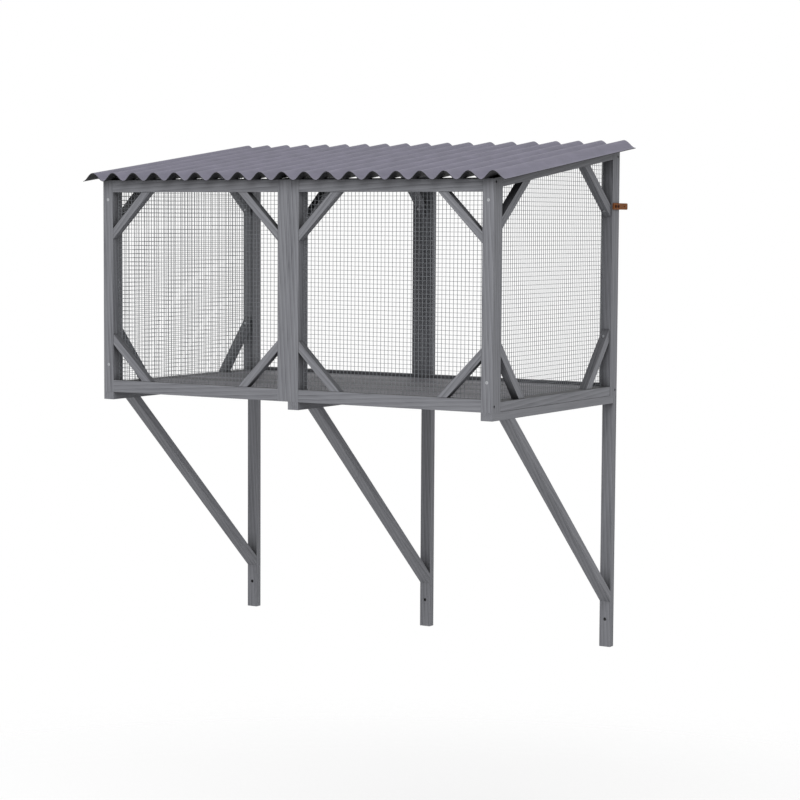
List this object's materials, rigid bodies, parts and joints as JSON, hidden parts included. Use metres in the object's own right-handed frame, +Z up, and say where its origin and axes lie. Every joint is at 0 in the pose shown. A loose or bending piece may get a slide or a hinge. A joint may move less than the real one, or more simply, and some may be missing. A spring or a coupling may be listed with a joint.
{
  "type": "window box catio",
  "caption": "Two-bay timber cage with wire mesh and a corrugated sloping roof, open at the rear, held under a window by legs, beams and slanting struts.",
  "frame": {"origin": "in the wall plane, on the seam between the two bays, at the level of the cage's underside", "axes": "+Y into the wall, so the front faces -Y; +Z up; X along the wall"},
  "size_m": [1.13, 0.677, 1.199],
  "materials": {
    "timber": "grey stained softwood, satin",
    "floor": "grey stained board, satin",
    "roof": "matt grey sheet",
    "wire": "galvanised wire",
    "plate": "brown coated steel",
    "zinc_screws": "zinc plated",
    "dark_screws": "black coated"
  },
  "bodies": {
    "root": {"roof_sheet": "roof", "floor_panel": "floor", "front_stile_left_outer": "timber", "front_stile_left_inner": "timber", "front_stile_right_inner": "timber", "front_stile_right_outer": "timber", "front_top_rail_left": "timber", "front_top_rail_right": "timber", "front_bottom_rail_left": "timber", "front_bottom_rail_right": "timber", "front_brace_left_top_outer": "timber", "front_brace_left_top_inner": "timber", "front_brace_left_low_outer": "timber", "front_brace_left_low_inner": "timber", "front_brace_right_top_inner": "timber", "front_brace_right_top_outer": "timber", "front_brace_right_low_inner": "timber", "front_brace_right_low_outer": "timber", "rear_post_left": "timber", "rear_post_left_middle": "timber", "rear_post_right_middle": "timber", "rear_post_right": "timber", "rear_top_rail_left": "timber", "rear_top_rail_right": "timber", "rear_bottom_rail_left": "timber", "rear_bottom_rail_right": "timber", "side_top_rail_left": "timber", "side_bottom_rail_left": "timber", "side_top_rail_right": "timber", "side_bottom_rail_right": "timber", "side_brace_left_top_front": "timber", "side_brace_left_top_rear": "timber", "side_brace_left_low_front": "timber", "side_brace_left_low_rear": "timber", "side_brace_right_top_front": "timber", "side_brace_right_top_rear": "timber", "side_brace_right_low_front": "timber", "side_brace_right_low_rear": "timber", "centre_rafter": "timber", "centre_brace_front": "timber", "centre_brace_rear": "timber", "front_mesh_left": "wire", "front_mesh_right": "wire", "side_mesh_left": "wire", "side_mesh_right": "wire", "leg_left": "timber", "leg_middle": "timber", "leg_right": "timber", "beam_left": "timber", "beam_middle": "timber", "beam_right": "timber", "strut_left": "timber", "strut_middle": "timber", "strut_right": "timber", "fixing_plate_left": "plate", "fixing_plate_right": "plate", "slim_screws": "dark_screws", "flat_head_screws": "zinc_screws", "bracket_screws": "zinc_screws", "plate_screws": "dark_screws"}
  },
  "joints": []
}
